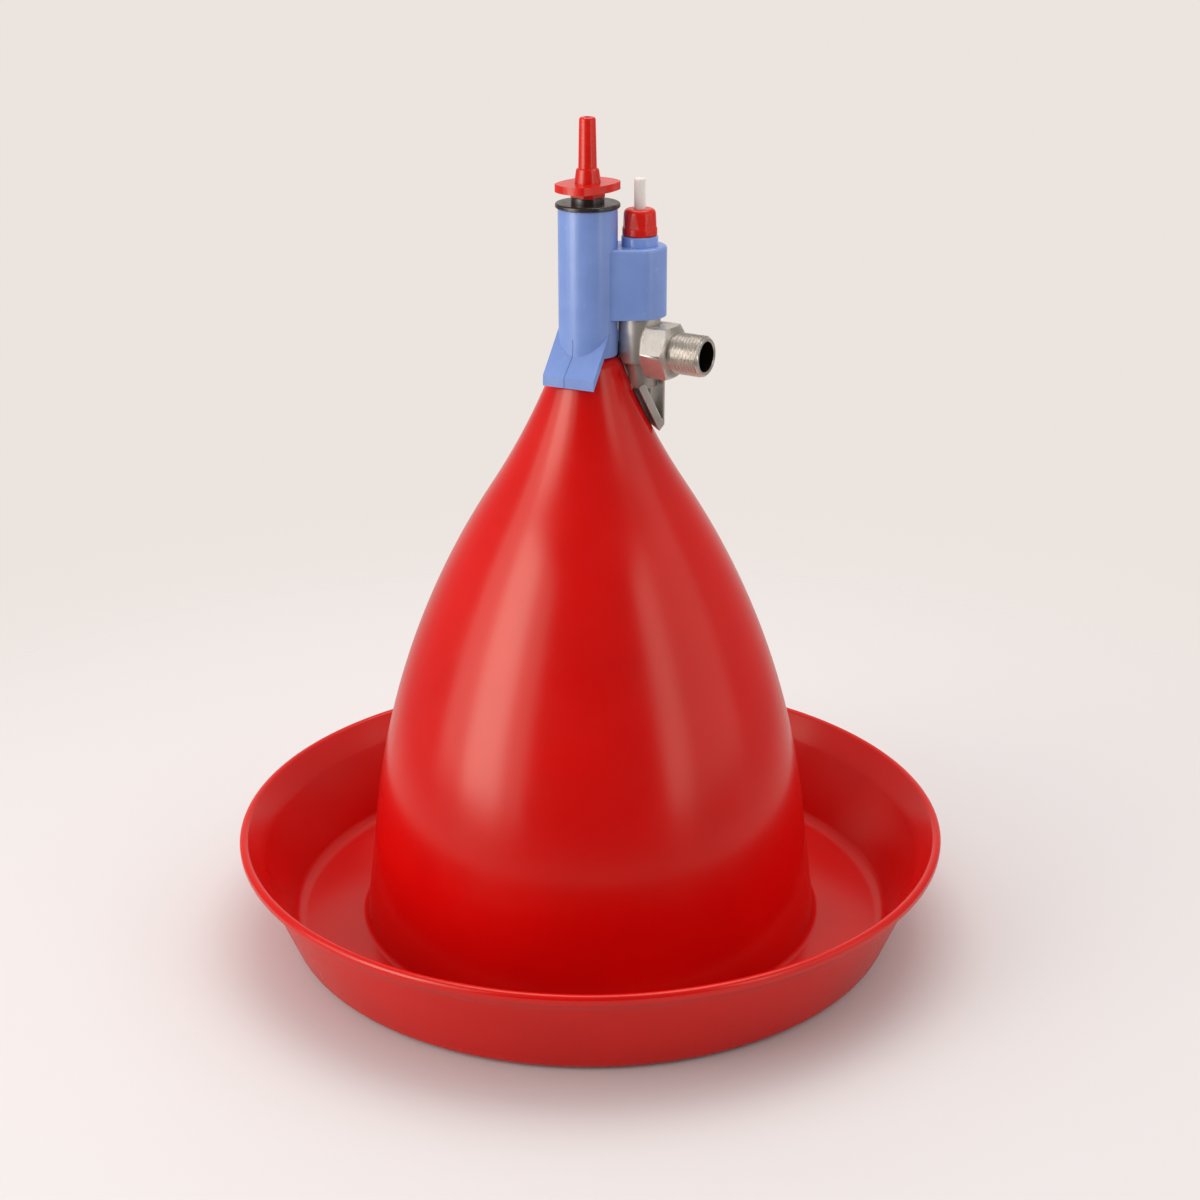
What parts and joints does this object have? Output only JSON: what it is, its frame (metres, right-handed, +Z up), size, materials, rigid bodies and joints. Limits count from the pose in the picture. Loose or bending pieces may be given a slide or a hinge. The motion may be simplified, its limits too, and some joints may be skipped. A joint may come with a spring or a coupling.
{
  "type": "poultry drinker",
  "caption": "Hanging bell drinker for poultry: bell and water tray in one, under a weight-controlled valve head with a threaded side inlet, a level adjuster and a cord stub",
  "frame": {"origin": "on the surface that the tray stands on, at the centre of the tray", "axes": "+Z up along the bell's axis, +X from that axis towards the axis of the valve socket"},
  "size_m": [0.3799, 0.38, 0.4347],
  "materials": {
    "red_plastic": "gloss",
    "blue_plastic": "satin",
    "blue_gloss": "gloss",
    "black_plastic": "satin",
    "nickel_plate": "satin nickel plate",
    "steel": "satin",
    "white_plastic": "satin",
    "black_rubber": "matte",
    "tank_plastic": "matte"
  },
  "bodies": {
    "bell": {"bell_tray": "red_plastic", "bell_gasket": "black_rubber", "spring_anchor": "white_plastic", "centre_rod": "steel", "clamp_washer": "steel", "bell_nut": "steel", "ballast_tank": "tank_plastic", "filler_cap": "black_plastic", "ballast_nut": "steel", "wing_nut": "steel", "main_spring": "steel"},
    "head": {"valve_housing": "blue_plastic", "top_cap": "black_plastic", "valve_body": "nickel_plate", "inlet_nipple": "nickel_plate", "inlet_strainer": "steel", "valve_plug": "black_plastic", "valve_bush": "blue_gloss", "gland_nut": "red_plastic", "gland_ring": "black_rubber", "blanking_pin": "white_plastic", "valve_seat": "white_plastic", "thrust_washer": "white_plastic", "valve_spring": "steel"},
    "stem": {"valve_stem": "steel", "stem_seal": "black_rubber", "stirrup": "steel"},
    "adjuster": {"hanger_spindle": "red_plastic", "lead_screw": "steel", "spindle_clip": "steel"},
    "carrier": {"spring_carrier": "white_plastic"}
  },
  "joints": [
    {"name": "head_lift", "type": "slide", "parent": "bell", "child": "head", "axis": [0, 0, 1], "range_m": [0, 0.0035], "deforming": ["main_spring"]},
    {"name": "stem_slide", "type": "slide", "parent": "head", "child": "stem", "axis": [0, 0, 1], "range_m": [-0.0035, 0], "deforming": ["valve_spring"]},
    {"name": "adjuster_turn", "type": "hinge", "parent": "head", "child": "adjuster", "pos_m": [0, 0, 0.396], "axis": [0, 0, 1], "range_deg": [-1350, 0]},
    {"name": "carrier_lift", "type": "slide", "parent": "head", "child": "carrier", "axis": [0, 0, 1], "range_m": [0, 0.0075]}
  ],
  "couplings": [
    {"joint": "stem_slide", "follows": "head_lift", "ratio": -1},
    {"joint": "adjuster_turn", "follows": "carrier_lift", "rad_per_m": -3141.6}
  ]
}
